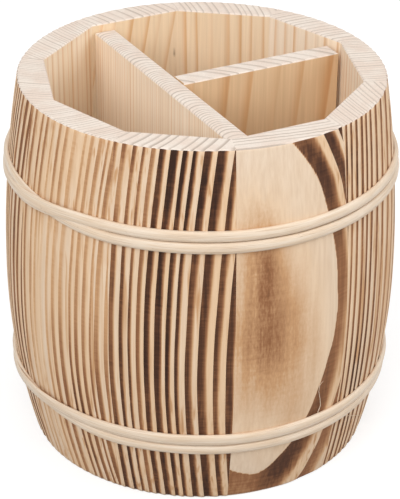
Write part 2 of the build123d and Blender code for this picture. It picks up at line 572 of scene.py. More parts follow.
@dataclass
class Stave:
    """One stave: turned, charred and brushed outside, flat and bare inside, end grain at the rim.

    Attributes:
        number: its place round the tub, from 1.
        rings: its growth rings.
        scorch: how the fire took its face.
        inner_marks: small dark marks on its bare inner face, such as a pin knot.
        end_rate: how many lines its end grain shows for each ring of its face.
        tone: how tan its bare wood is, 0 being the palest; staves 1 and 10 are set palest as painted light,
            offsetting the shade deep inside the tub.
        columns: how many cells wide its face is.
        rows: how many cells tall its face is.
        depth_cells: how many cells deep its sides are.
        lines: how strongly the growth lines show on its bare face.
        brush_depth: how far the soft wood is brushed away where it burnt most, in mm.
        arris: the width of its broken edges, in mm.
        face_cell: the depth of the first cell behind its face, in mm.
        inner_band: how deep its inner marks go, in mm.
        fibre_depths: how deep the coarse and the fine fibres stand out of its face, in mm.
        least_brush: the share of the brush's depth where nothing burnt.
        groove: the shape of a brushed ring: places from one ring edge to the next, and the depth at each.
        crease_deg: the angle from which an edge stays crisp.
    """

    number: int
    rings: Rings
    scorch: Scorch
    inner_marks: tuple[Patch, ...] = ()
    end_rate: int = 2
    tone: float = 0.25
    columns: int = 140
    rows: int = 96
    depth_cells: int = 9
    lines: float = 1.1
    brush_depth: float = 0.42
    arris: float = 0.18
    face_cell: float = 0.6
    inner_band: float = 2.0
    fibre_depths: tuple[float, float] = (0.018, 0.012)
    least_brush: float = 0.3
    groove: tuple[tuple[float, ...], tuple[float, ...]] = (
        (0.0, 0.1, 0.18, 0.32, 0.5, 0.68, 0.8, 0.9, 1.0), (0.35, 0.9, 1.0, 0.9, 0.45, 0.1, 0.0, 0.03, 0.35))
    crease_deg: float = 42.0

    @property
    def name(self) -> str:
        """The node that this stave stands for."""
        return f"stave_{self.number:02d}"

    def build(self, finishes: "Finishes") -> None:
        """Makes the stave and dresses it.

        Args:
            finishes: the materials of the caddy.
        """
        block = CellBlock(f"{self.name}_wood", self.columns, self.rows, self.depth_cells)
        across, out, up, relief = self._shape(block)
        turn = (2 * self.number - 1) * HALF_STAVE - math.pi / 2
        x = -across * math.cos(turn) - out * math.sin(turn)
        y = -across * math.sin(turn) + out * math.cos(turn)
        write_corners(block.piece, np.stack([x, y, up], axis=1))
        self._dress(block, across, out, up, finishes)
        settle(block.piece, self.crease_deg)
        seat(block.piece, Body.TUB, Slot.CHARRED, self.name)
        log.info("%s: grooves up to %.2f mm deep", block.piece.name, float(relief.max()))

    def _angles(self, block: CellBlock) -> Array:
        """Each corner's angle from the stave's middle, with a narrow first and last cell."""
        edge = HALF_STAVE - self.arris / BARREL.belly_radius
        return np.array([-HALF_STAVE, *np.linspace(-edge, edge, self.columns - 1), HALF_STAVE])[block.i]

    def _heights(self) -> Array:
        """The height of each row of the outer face."""
        return np.linspace(BARREL.foot_edge, BARREL.height - BARREL.rim_edge, self.rows + 1)

    def _shape(self, block: CellBlock) -> tuple[Array, Array, Array, Array]:
        """Where each corner goes.

        Args:
            block: the stave's cells.

        Returns:
            The places across, out and up, and how deep the brush went there, all in mm.
        """
        angle, up = self._angles(block), self._heights()[block.j]
        top, bottom = block.j == self.rows, block.j == 0
        on_face, last = block.k == 0, block.k == self.depth_cells
        surface = BARREL.radius(up)
        relief = self._relief(angle, up, surface)
        at_side = (block.i == 0) | (block.i == self.columns)
        relief = np.where(at_side, np.maximum(relief, self.arris), relief)
        near = surface - relief
        first_cell = np.where(top, BARREL.rim_edge, np.where(bottom, BARREL.foot_edge, self.face_cell))
        flat, inner_up = self._inner_rows(block)
        inner = flat / np.cos(angle)
        share = (block.k - 1) / (self.depth_cells - 2)
        radial = near - first_cell
        radial = radial + (inner + BARREL.rim_edge - radial) * share
        radial = np.where(on_face, near, np.where(last, inner, radial))
        up = np.where(top & ~on_face & ~last, BARREL.height, np.where(bottom & ~on_face, 0.0, up))
        up = np.where(last & ~bottom, inner_up, up)
        return radial * np.sin(angle), radial * np.cos(angle), up, np.where(on_face, relief, 0.0)

    def _inner_rows(self, block: CellBlock) -> tuple[Array, Array]:
        """The inner face, row by row, with the floor's groove.

        Args:
            block: the stave's cells.

        Returns:
            Each corner's distance from the axis and its height, in mm.
        """
        heights = self._heights()
        flat = np.full(self.rows + 1, BARREL.inside_flat)
        low, high = (int(row) for row in np.searchsorted(heights, (BARREL.groove_bottom, BARREL.groove_top)))
        heights[low - 1:low + 1] = BARREL.groove_bottom
        heights[high - 1:high + 1] = BARREL.groove_top
        flat[low:high] += BARREL.groove_depth
        return flat[block.j], heights[block.j]

    def _relief(self, angle: Array, up: Array, surface: Array) -> Array:
        """How deep the brush went into the outer face.

        Args:
            angle: each corner's angle from the stave's middle, in radians.
            up: each corner's height, in mm.
            surface: the barrel's radius there, in mm.

        Returns:
            The depth at each corner, in mm.
        """
        arc = surface * angle
        count = self.rings.count(surface * np.sin(angle), surface * np.cos(angle), up)
        hollow = np.interp(count - np.floor(count), *self.groove)
        reach = self.least_brush + (1 - self.least_brush) * self._burnt(arc, up, count)
        depth = hollow * self.brush_depth * reach
        coarse, fine = self.fibre_depths
        fibre = coarse * ripple(arc * 9, up / 7, self.number)
        fibre = fibre + fine * ripple(arc * 23, up / 11, self.number + 5)
        return np.maximum(depth + fibre + 0.02, 0.0)

    def _burnt(self, arc: Array, up: Array, count: Array) -> Array:
        """How dark the fire left each place of the face."""
        return self.scorch.at(arc, up) * self.rings.scale.burn_at(count)

    def _dress(self, block: CellBlock, across: Array, out: Array, up: Array, finishes: "Finishes") -> None:
        """Notes rings and scorch on the mesh, and gives each side of the stave its finish.

        Args:
            block: the stave's cells.
            across: each corner's place across the stave, in mm.
            out: each corner's place out from the axis, in mm.
            up: each corner's height, in mm.
            finishes: the materials of the caddy.
        """
        angle, surface = np.arctan2(across, out), BARREL.radius(up)
        arc, on_face = surface * angle, block.k == 0
        count = self.rings.count(np.where(on_face, surface * np.sin(angle), across),
                                 np.where(on_face, surface * np.cos(angle), out), up)
        inside = out < BARREL.inside_flat + self.inner_band
        marks = np.clip(add_patches(np.zeros_like(arc), self.inner_marks, across, up), 0, 1)
        keep_notes(block.piece, {
            Note.RINGS: count, Note.SCORCH: self._burnt(arc, up, count),
            Note.SMOKE: self.scorch.smoke_at(arc, up), Note.LINES: self.lines, Note.TONE_AND_PAINTED_LIGHT: self.tone,
            Note.END_RATE: self.end_rate, Note.MARKS: np.where(inside, marks, 0.0)})
        top = (block.j == self.rows) | (up > BARREL.height - SEAM)
        block.paint((finishes.charred, finishes.planed, finishes.end_grain), 1,
                    ((on_face, 0), (top, 2), (block.j == 0, 2)))


# Boards of the insert


@dataclass
class DividerBoard:
    """One upright board of the insert, its end grain along the top.

    Attributes:
        node: the node it stands for.
        runs_along_y: whether its length runs along Y and not along X.
        rings: its growth rings, across being along its length and out through its thickness.
        lines: how strongly the growth lines show on its faces.
        tone: how tan its wood is, 0 being the palest; it also holds painted light and shade, the long board
            paler where light falls on its face and the short one tanner where its face lies in shade.
        end_rate: how many lines its end grain shows for each ring of its face.
        cell: the length of a cell, in mm.
        rows: how many cells tall it is.
        depth_cells: how many cells thick it is.
        edge: the width of its broken edges, in mm.
        ridge: the shape of a sanded ring: places from one ring edge to the next, and the drop at each.
        crease_deg: the angle from which an edge stays crisp.
    """

    node: str
    runs_along_y: bool
    rings: Rings
    lines: float
    tone: float
    end_rate: int
    cell: float = 0.5
    rows: int = 40
    depth_cells: int = 12
    edge: float = 0.4
    ridge: tuple[tuple[float, ...], tuple[float, ...]] = (
        (0.0, 0.06, 0.5, 0.85, 1.0), (0.02, 0.07, 0.03, 0.0, 0.01))
    crease_deg: float = 30.0

    def build(self, finishes: "Finishes") -> None:
        """Makes the board inside its solid's box and dresses it.

        Args:
            finishes: the materials of the caddy.
        """
        low, high = (np.array(corner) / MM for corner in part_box(self.node))
        long, thick = (1, 0) if self.runs_along_y else (0, 1)
        length = high[long] - low[long]
        block = CellBlock(f"{self.node}_board", round(length / self.cell), self.rows, self.depth_cells)
        on_top = (block.j == block.up) & (block.k > 0) & (block.k < block.deep)
        corners = self._shape(block, on_top, low, high)
        middle = (low[thick] + high[thick]) / 2
        count = self.rings.count(corners[:, long], corners[:, thick] - middle, corners[:, 2])
        corners[:, 2] -= np.where(on_top, np.interp(count - np.floor(count), *self.ridge), 0.0)
        write_corners(block.piece, corners)
        keep_notes(block.piece, {Note.RINGS: count, Note.LINES: self.lines, Note.TONE_AND_PAINTED_LIGHT: self.tone,
                                 Note.END_RATE: self.end_rate})
        block.paint((finishes.planed, finishes.end_grain), 0, ((block.j == block.up, 1), (block.j == 0, 1)))
        settle(block.piece, self.crease_deg)
        seat(block.piece, Body.INSERT, Slot.BARE, self.node)
        log.info("%s: %.0f mm long", block.piece.name, length)

    def _shape(self, block: CellBlock, on_top: Array, low: Array, high: Array) -> Array:
        """Where each corner goes, with the upper edges broken.

        Args:
            block: the board's cells.
            on_top: which corners lie on the board's upper side.
            low: the lower corner of the board's box, in mm.
            high: its upper corner, in mm.

        Returns:
            The corners, one row each, in mm.
        """
        long, thick = (1, 0) if self.runs_along_y else (0, 1)
        corners = np.zeros((len(block.i), 3))
        corners[:, long] = low[long] + (high[long] - low[long]) * block.i / block.across
        corners[:, 2] = low[2] + (high[2] - self.edge - low[2]) * block.j / block.up
        near, far = low[thick] + self.edge, high[thick] - self.edge
        through = near + (far - near) * np.clip((block.k - 1) / (block.deep - 2), 0, 1)
        through = np.where(block.k == 0, low[thick], through)
        corners[:, thick] = np.where(block.k == block.deep, high[thick], through)
        corners[on_top, 2] = high[2]
        corners[on_top & (block.i == 0), long] = low[long] + self.edge
        corners[on_top & (block.i == block.across), long] = high[long] - self.edge
        return corners


# Hoops


@dataclass(frozen=True)
class HoopForm:
    """The path that the two strips of a hoop take round the barrel. Angles are in degrees.

    Attributes:
        middle: the hoop's height at the left and in front, in mm.
        left: where the strips change places at the left.
        lift: how much higher the hoop sits at its highest, in mm.
        spread: how much wider the outer strip lies at a crossing, in mm.
        lag: how far apart the two strips start to change places.
        right: where the strips change places again, behind.
        half_span: half the angle over which a strip crosses.
        lift_angle: where the hoop sits highest.
        lift_reach: how far from there it comes down to its middle height.
    """

    middle: float
    left: float
    lift: float
    spread: float
    lag: float
    right: float = 20.0
    half_span: float = 28.0
    lift_angle: float = -30.0
    lift_reach: float = 70.0

    def turned(self, angle: Array, centre: float) -> Array:
        """The signed angle from a centre, within half a turn."""
        return (angle - centre + 180) % 360 - 180

    def side(self, angle: Array, over_left: bool) -> Array:
        """Which place a strip has beside the other.

        Args:
            angle: angles round the barrel.
            over_left: whether the strip is the outer one at the left crossing.

        Returns:
            -1 where it keeps its place in front, 1 where it keeps the one behind, and smooth between.
        """
        lag = -self.lag if over_left else self.lag
        left, right = self.left + lag, self.right + lag
        from_left = self.turned(angle, left) / self.half_span
        from_right = self.turned(angle, right) / self.half_span
        side = np.where((angle - left) % 360 < (right - left) % 360, -1.0, 1.0)
        side = np.where(np.abs(from_left) < 1, 1 - 2 * ease((from_left + 1) / 2), side)
        return np.where(np.abs(from_right) < 1, 2 * ease((from_right + 1) / 2) - 1, side)

    def overlap(self, angle: Array) -> Array:
        """The share of its width by which one strip lies over the other."""
        return 1 - np.abs(self.side(angle, True) + self.side(angle, False)) / 2

    def raised(self, angle: Array) -> Array:
        """How much higher the hoop sits at this angle, in mm."""
        return self.lift * ease(1 - np.abs(self.turned(angle, self.lift_angle)) / self.lift_reach)


@dataclass
class CaneStrip:
    """One strip of split cane, shaved flat behind and round in front, wound once round and lapped.

    Attributes:
        node: the node it stands for.
        form: the path of its hoop.
        width: the strip's width, in mm.
        partner_width: the width of the strip beside it.
        lap_angle: where its thinned first end lies, in degrees.
        over_left: whether it is the outer one at the left crossing, and so the upper one in front.
        thickness: its thickness, in mm.
        crossing_thickness: what it is thinned to at a crossing, in mm.
        gap: the room between two strips, in mm.
        seat: how far its back stands off the barrel, in mm.
        lap_span: how far its last end lies over its first, in degrees.
        lap_lead: how far before the lap it starts to rise, in degrees.
        tip_thickness: its thickness at each end, in mm.
        cell: the length of a cell, in degrees.
        profile_cells: how many cells go round its section.
        back_share: the share of its section, at each end, that is its flat back.
        roundness: the power that gives its front its round.
        grain_shift: how far the grain of a hoop's second strip lies from the first's, in mm.
        crease_deg: the angle from which an edge stays crisp.
    """

    node: str
    form: HoopForm
    width: float
    partner_width: float
    lap_angle: float
    over_left: bool
    thickness: float = 1.65
    crossing_thickness: float = 1.05
    gap: float = 0.12
    seat: float = 0.04
    lap_span: float = 24.0
    lap_lead: float = 8.0
    tip_thickness: float = 0.8
    cell: float = 1.0
    profile_cells: int = 20
    back_share: float = 0.16
    roundness: float = 0.72
    grain_shift: float = 500.0
    crease_deg: float = 55.0

    def build(self, finishes: "Finishes") -> None:
        """Winds the strip round the barrel and dresses it.

        Args:
            finishes: the materials of the caddy.
        """
        whole = 360 + self.lap_span
        piece = add_grid(f"{self.node}_cane", round(whole / self.cell), self.profile_cells)
        flat = read_corners(piece)
        run = (flat[:, 0] + 0.5) * whole
        turn = np.rint((flat[:, 1] + 0.5) * self.profile_cells) / self.profile_cells
        write_corners(piece, self._wrap(run, turn))
        keep_notes(piece, {
            Note.ALONG: np.radians(run) * BARREL.belly_radius + self.grain_shift * self.over_left,
            Note.ACROSS: (turn - 0.5) * 2 * self.width + self.form.middle, Note.EDGE: np.abs(turn - 0.5) * 2})
        close_tube(piece)
        piece.data.materials.append(finishes.cane)
        settle(piece, self.crease_deg)
        seat(piece, Body.TUB, Slot.CANE, self.node)
        log.info("%s: %.1f mm wide", piece.name, self.width)

    def _section(self, turn: Array) -> tuple[Array, Array]:
        """The strip's section.

        Args:
            turn: the share of the way round it, from the middle of the back.

        Returns:
            The place across from -1 to 1, and the share of the thickness out from the back.
        """
        back = self.back_share
        angle = math.pi * (np.clip((turn - back) / (1 - 2 * back), 0, 1) - 0.5)
        behind = (turn < back) | (turn > 1 - back)
        flat = np.where(turn < back, -np.clip(turn / back, 0, 1), np.clip((1 - turn) / back, 0, 1))
        return np.where(behind, flat, np.sin(angle)), np.where(behind, 0.0, np.cos(angle) ** self.roundness)

    def _wrap(self, run: Array, turn: Array) -> Array:
        """Where each corner goes.

        Args:
            run: how far along the strip it lies, in degrees.
            turn: the share of the way round the section.

        Returns:
            The corners, one row each, in mm.
        """
        form, angle = self.form, self.lap_angle + run
        side = form.side(angle, self.over_left) * (-1 if self.over_left else 1)
        lying = ease(form.overlap(angle) * 1.3)
        over = form.left if self.over_left else form.right
        outer = np.where(np.abs(form.turned(angle, over)) < 90, 1.0, 0.0)
        full = self.thickness - (self.thickness - self.crossing_thickness) * lying
        rise = outer * lying * self.crossing_thickness + self._lap_rise(run, full)
        wander = 0.1 * ripple(run / 21, 0.0, self.lap_angle) + 0.04 * ripple(run / 6, 0.0, self.lap_angle)
        middle = form.middle + side * (self.partner_width + self.gap) / 2 + form.raised(angle)
        width = self.width * (1 + 0.02 * ripple(run / 33, 0.0, self.lap_angle + 2))
        width = width + outer * form.spread * form.overlap(angle)
        along, out = self._section(turn)
        low_radius = BARREL.radius(middle - width / 2)
        high_radius = BARREL.radius(middle + width / 2)
        lean = np.arctan2(low_radius - high_radius, width)
        height = along * width / 2
        fibre = 0.03 * np.sin(height * 5.2 + 0.8 * ripple(run / 40, height, 1.0))
        stand = out * self._tapered(run, full) + np.where(out > 0.3, fibre, 0.0)
        back = (low_radius + high_radius) / 2 + self.seat + rise
        radius = back + stand * np.cos(lean) - height * np.sin(lean)
        up = middle + wander + stand * np.sin(lean) + height * np.cos(lean)
        return round_axis(radius, np.radians(angle), up)

    def _tapered(self, run: Array, full: Array) -> Array:
        """A full thickness, in mm, thinned towards both lapped ends."""
        from_end = np.clip(np.minimum(run, 360 + self.lap_span - run) / self.lap_span, 0.0, 1.0)
        return self.tip_thickness + (full - self.tip_thickness) * from_end

    def _lap_rise(self, run: Array, full: Array) -> Array:
        """How far the last end stands off the barrel, in mm, to lie over the first end."""
        leading = ease((run - 360 + self.lap_lead) / self.lap_lead) * (self.tip_thickness + self.gap)
        return leading + self._tapered(np.maximum(run - 360, 0), full) - self.tip_thickness


@dataclass
class Hoop:
    """Two strips of cane side by side, which change places at the left and again behind.

    Attributes:
        place: where the hoop sits on the tub.
        form: the path that its strips take.
        widths: the strips' widths, in mm.
        lap_angles: where each strip's lap starts, in degrees.
    """

    place: str
    form: HoopForm
    widths: tuple[float, float]
    lap_angles: tuple[float, float] = (78.0, 106.0)

    def build(self, finishes: "Finishes") -> None:
        """Makes both strips of the hoop.

        Args:
            finishes: the materials of the caddy.
        """
        strips = zip("ab", self.widths, reversed(self.widths), self.lap_angles, (False, True))
        for letter, width, partner_width, lap_angle, over_left in strips:
            node = f"{self.place}_hoop_strip_{letter}"
            CaneStrip(node, self.form, width, partner_width, lap_angle, over_left).build(finishes)


@dataclass
class LooseFibre:
    """A hair-thin fibre that has split off a cane strip and lies on the barrel.

    Attributes:
        name: the piece's name.
        path: point by point, the angle in degrees, the height in mm and the distance off the barrel in mm.
        thickness: its thickness where it starts, in mm.
        taper: the share of its thickness that it has lost at its tip.
        cells: how many cells long it is.
        sides: how many sides it has.
        crease_deg: the angle from which an edge stays crisp.
    """

    name: str
    path: tuple[tuple[float, float, float], ...]
    thickness: float = 0.34
    taper: float = 0.6
    cells: int = 48
    sides: int = 6
    crease_deg: float = 60.0

    def build(self, finishes: "Finishes") -> None:
        """Draws the fibre as a thin tube and dresses it.

        Args:
            finishes: the materials of the caddy.
        """
        piece = add_grid(self.name, self.cells, self.sides)
        flat = read_corners(piece)
        along, turn = flat[:, 0] + 0.5, (flat[:, 1] + 0.5) * 2 * math.pi
        step = np.linspace(0, 1, len(self.path))
        angle, up, stand = (np.interp(along, step, column) for column in zip(*self.path))
        thin = self.thickness / 2 * (1 - self.taper * along)
        radius = BARREL.radius(up) + stand + thin * np.cos(turn)
        swing = np.radians(angle) + thin * np.sin(turn) / BARREL.belly_radius
        write_corners(piece, round_axis(radius, swing, up))
        keep_notes(piece, {Note.ALONG: along * 10, Note.ACROSS: turn})
        close_tube(piece)
        piece.data.materials.append(finishes.cane)
        settle(piece, self.crease_deg)
        seat(piece, Body.TUB, Slot.CANE)
        log.info("%s: a loose fibre", piece.name)


# Shader maths


def linear(red: int, green: int, blue: int) -> Colour:
    """A colour given as it looks, 0 to 255, in the numbers that a shader takes."""
    shares = (part / 255 for part in (red, green, blue))
    return (*(part / 12.92 if part <= 0.04045 else ((part + 0.055) / 1.055) ** 2.4 for part in shares), 1.0)


def grey(level: float) -> Colour:
    """A grey given in the numbers that a shader takes."""
    return (level, level, level, 1.0)


def maths(operation: str, swapped: bool = False) -> Callable[..., "Value"]:
    """A method that puts a value through one Math node.

    Args:
        operation: the node's operation.
        swapped: whether the value comes last, as in 1 - value.

    Returns:
        The method.
    """
    def method(value: "Value", *others: "Value | float") -> "Value":
        """The node's result."""
        terms = (value, *others)[::-1] if swapped else (value, *others)
        return value.recipe.node("ShaderNodeMath", {"operation": operation}, dict(enumerate(terms)))

    return method


class Value:
    """A number that varies over a surface, so that shader maths reads as an expression."""

    __add__ = __radd__ = maths("ADD")
    __sub__ = maths("SUBTRACT")
    __rsub__ = maths("SUBTRACT", swapped=True)
    __mul__ = __rmul__ = maths("MULTIPLY")
    __pow__ = maths("POWER")
    fraction = maths("FRACT")
    whole = maths("FLOOR")

    def __init__(self, recipe: "Recipe", socket: bpy.types.NodeSocket) -> None:
        """Wraps one socket of a recipe."""
        self.recipe = recipe
        self.socket = socket

    def within(self, low: float, high: float) -> "Value":
        """0 below low, 1 above high and smooth between."""
        settings = {"interpolation_type": "SMOOTHSTEP"}
        return self.recipe.node("ShaderNodeMapRange", settings, {0: self, 1: low, 2: high, 3: 0.0, 4: 1.0})

    def clipped(self) -> "Value":
        """Held between 0 and 1."""
        return self.recipe.node("ShaderNodeClamp", {}, {0: self, 1: 0.0, 2: 1.0})


class Recipe:
    """The nodes of one material, or of the sky."""

    def __init__(self, owner: bpy.types.Material | bpy.types.World) -> None:
        """Starts with the nodes that a new owner has."""
        owner.use_nodes = True
        self.owner, self.tree = owner, owner.node_tree

    def node(self, kind: str, settings: dict, sockets: dict, output: int | str = 0) -> Value:
        """Adds one node.

        Args:
            kind: the node's type.
            settings: its own settings, which are set first.
            sockets: a value, a link or a plain number or colour for each input.
            output: the output that is wanted.

        Returns:
            The wanted output.
        """
        made = self.tree.nodes.new(kind)
        for key, setting in settings.items():
            setattr(made, key, setting)
        self.feed(made, sockets)
        return Value(self, made.outputs[output])

    def feed(self, node: bpy.types.Node, sockets: dict) -> None:
        """Links values to a node's inputs, or sets them to constants.

        Args:
            node: the node.
            sockets: a value, a link or a plain number or colour for each input.
        """
        for key, given in sockets.items():
            if isinstance(given, Value):
                self.tree.links.new(given.socket, node.inputs[key])
            else:
                node.inputs[key].default_value = given

    def surface(self, sockets: dict) -> Finish:
        """Feeds the surface shader and gives back the material."""
        self.feed(self.tree.nodes["Principled BSDF"], sockets)
        return self.owner

    def seen(self) -> Value:
        """1 to a ray that shows the background: straight from the camera, off gloss or through glass."""
        rays = ("Is Camera Ray", "Is Glossy Ray", "Is Transmission Ray")
        return sum(self.node("ShaderNodeLightPath", {}, {}, ray) for ray in rays).clipped()

    def noted(self, note: Note) -> Value:
        """A number kept on the mesh."""
        return self.node("ShaderNodeAttribute", {"attribute_name": note.value}, {}, "Fac")

    def ring_random(self, count: Value) -> Value:
        """A number of its own for each ring, between 0 and 1."""
        return self.node("ShaderNodeTexWhiteNoise", {"noise_dimensions": "1D"}, {"W": count.whole()})

    def mottle(self, place: Value, detail: float) -> Value:
        """Uneven mottling over a place, between 0 and 1."""
        sockets = {"Vector": place, "Scale": 1.0, "Detail": detail, "Roughness": 0.55}
        return self.node("ShaderNodeTexNoise", {}, sockets)

    def grain(self, x: float, y: float, z: float, detail: float) -> Value:
        """Mottling in the object, finer along an axis the higher its number."""
        place = self.node("ShaderNodeTexCoord", {}, {}, "Object")
        return self.mottle(self.node("ShaderNodeMapping", {}, {"Vector": place, "Scale": (x, y, z)}), detail)

    def strip_grain(self, along: float, across: float, detail: float) -> Value:
        """Mottling on a strip, finer along or across it the higher the number."""
        sockets = {0: self.noted(Note.ALONG) * along, 1: self.noted(Note.ACROSS) * across}
        return self.mottle(self.node("ShaderNodeCombineXYZ", {}, sockets), detail)

    def blend(self, factor: Value | float, first: Value | Colour, second: Value | Colour,
              way: str = "MIX") -> Value:
        """One colour over another."""
        settings = {"data_type": "RGBA", "blend_type": way}
        return self.node("ShaderNodeMix", settings, {0: factor, 6: first, 7: second}, 2)

    def ramp(self, value: Value, stops: tuple[tuple[float, Colour], ...]) -> Value:
        """A colour read from a value along a row of stops.

        Args:
            value: the value.
            stops: the place and the colour of each stop.

        Returns:
            The colour.
        """
        result = self.node("ShaderNodeValToRGB", {}, {0: value})
        elements = result.socket.node.color_ramp.elements
        while len(elements) < len(stops):
            elements.new(0.5)
        for element, (position, colour) in zip(elements, stops):
            element.position, element.color = position, colour
        return result

    def shaded(self, colour: Value, grain: Value, hollow: Colour, top: float, share: float) -> Value:
        """Tints a colour a little in the hollows of a fine grain.

        Args:
            colour: the colour.
            grain: the grain.
            hollow: the tint of its hollows.
            top: the grain from which there is no tint.
            share: how much the tint counts.

        Returns:
            The tinted colour.
        """
        tint = self.ramp(grain, ((0.3, hollow), (top, WHITE)))
        return self.blend(share, colour, tint, "MULTIPLY")

    def bump(self, height: Value, distance_mm: float, strength: float) -> Value:
        """Fine unevenness, as a change of the surface's direction."""
        sockets = {"Height": height, "Distance": distance_mm * MM, "Strength": strength}
        return self.node("ShaderNodeBump", {}, sockets)


# Finishes


@dataclass(frozen=True)
class CharredFace:
    """Wood that was burnt and brushed: dark grooves with one crisp edge, and pale ridges between."""

    pale: Colour = linear(230, 209, 186)
    ridge: Colour = linear(232, 205, 175)
    warm_ridge: Colour = linear(232, 198, 160)
    toast: Colour = linear(204, 160, 118)
    brown: Colour = linear(150, 103, 69)
    dark: Colour = linear(90, 57, 38)
    char: Colour = linear(54, 33, 23)
    hollow: Colour = linear(231, 219, 205)

    def make(self) -> Finish:
        """Makes the material.

        Returns:
            The material.
        """
        recipe = Recipe(bpy.data.materials.new("charred_face"))
        scorch, smoke = recipe.noted(Note.SCORCH), recipe.noted(Note.SMOKE)
        phase = recipe.noted(Note.RINGS).fraction()
        fibre = recipe.grain(900, 900, 26, 4.0)
        streak = recipe.grain(260, 260, 9, 3.0)
        cloud = recipe.grain(45, 45, 22, 2.0)
        scratch = recipe.grain(60, 60, 1100, 3.0)
        thread = recipe.grain(620, 620, 8, 2.0)
        speck = recipe.grain(1500, 1500, 480, 2.0)
        tint = recipe.grain(120, 120, 5, 1.0)
        fade = phase + (streak - 0.5) * 0.3 + (thread - 0.5) * 0.25
        soft = phase.within(0.0, 0.012) * (1 - fade.within(0.26, 0.72))
        uneven = (fibre - 0.5) * 0.7 + (cloud - 0.5) * 0.7 + (scratch - 0.5) * 0.35
        haze = 0.45 + cloud * 0.6 + uneven * 0.6 + (streak - 0.5) * 0.9 + (speck - 0.5) * 0.5
        burn = soft * scorch * (0.9 + uneven) + smoke * haze
        toasted = scorch.within(0.08, 0.35)
        lined = thread.within(0.5, 0.72) * 0.22 + (streak - 0.5) * 0.16
        burn = burn + (1 - soft) * (toasted * (0.07 + lined) + (cloud - 0.45) * 0.1)
        colour = recipe.ramp(burn.clipped(), (
            (0.0, self.pale), (0.1, self.ridge), (0.27, self.toast), (0.5, self.brown), (0.76, self.dark),
            (1.0, self.char)))
        warm = tint.within(0.42, 0.62) * (1 - burn.within(0.1, 0.35)) * toasted * 0.7
        colour = recipe.blend(warm, colour, self.warm_ridge)
        return recipe.surface({
            "Base Color": recipe.shaded(colour, fibre, self.hollow, 0.7, 0.55),
            "Roughness": 0.62 + burn.clipped() * 0.2, "Specular IOR Level": 0.25,
            "Normal": recipe.bump(fibre * 0.7 + streak * 0.3, 0.06, 0.6)})


@dataclass(frozen=True)
class PlanedFace:
    """Bare planed wood with soft growth lines."""

    pale: Colour = linear(252, 236, 216)
    warm: Colour = linear(244, 218, 183)
    tan: Colour = linear(224, 190, 150)
    line: Colour = linear(232, 201, 166)
    knot: Colour = linear(96, 58, 34)
    hollow: Colour = linear(232, 228, 222)

    def make(self) -> Finish:
        """Makes the material.

        Returns:
            The material.
        """
        recipe = Recipe(bpy.data.materials.new("planed_face"))
        count = recipe.noted(Note.RINGS)
        phase = count.fraction()
        fibre = recipe.grain(800, 800, 20, 4.0)
        cloud = recipe.grain(60, 60, 12, 2.0)
        late = phase.within(0.45, 0.93) ** 2 * (1 - phase.within(0.93, 1.0))
        depth = (0.2 + recipe.ring_random(count) * 0.6) * recipe.noted(Note.LINES)
        # How tan the bare wood is: each board's own colour, painted light and shade set per board and stave,
        # and a random cloud.
        tone = recipe.noted(Note.TONE_AND_PAINTED_LIGHT) + (cloud - 0.5) * 0.5
        colour = recipe.ramp(tone.clipped(), ((0.0, self.pale), (0.5, self.warm), (1.0, self.tan)))
        colour = recipe.blend((late * depth).clipped(), colour, self.line, "MULTIPLY")
        colour = recipe.blend(recipe.noted(Note.MARKS), colour, self.knot)
        return recipe.surface({
            "Base Color": recipe.shaded(colour, fibre, self.hollow, 0.68, 0.6), "Roughness": 0.6,
            "Normal": recipe.bump(fibre * 0.8 - late * 0.5, 0.03, 0.5)})


@dataclass(frozen=True)
class EndGrain:
    """Sawn and sanded end grain: very pale, with thin grey lines where the rings end."""

    pale: Colour = linear(232, 220, 208)
    blush: Colour = linear(227, 210, 196)
    line: Colour = linear(184, 168, 154)
    hollow: Colour = linear(236, 232, 228)

    def make(self) -> Finish:
        """Makes the material.

        Returns:
            The material.
        """
        recipe = Recipe(bpy.data.materials.new("end_grain"))
        rate = recipe.noted(Note.END_RATE)
        count = recipe.noted(Note.RINGS) * rate
        phase = count.fraction()
        grain = recipe.grain(1500, 1500, 1500, 3.0)
        cloud = recipe.grain(110, 110, 110, 2.0)
        late = (phase + (grain - 0.5) * 0.05).within(0.55, 0.93) * (1 - phase.within(0.96, 1.0) * 0.8)
        strength = 0.35 + recipe.ring_random(count) * 0.55 + rate.within(2, 1) * 0.25
        colour = recipe.blend(cloud.within(0.35, 0.65), self.pale, self.blush)
        colour = recipe.blend((late * strength).clipped(), colour, self.line)
        return recipe.surface({
            "Base Color": recipe.shaded(colour, grain, self.hollow, 0.65, 0.5), "Roughness": 0.75,
            "Normal": recipe.bump(grain * 0.6 + late * 0.4, 0.05, 0.5)})


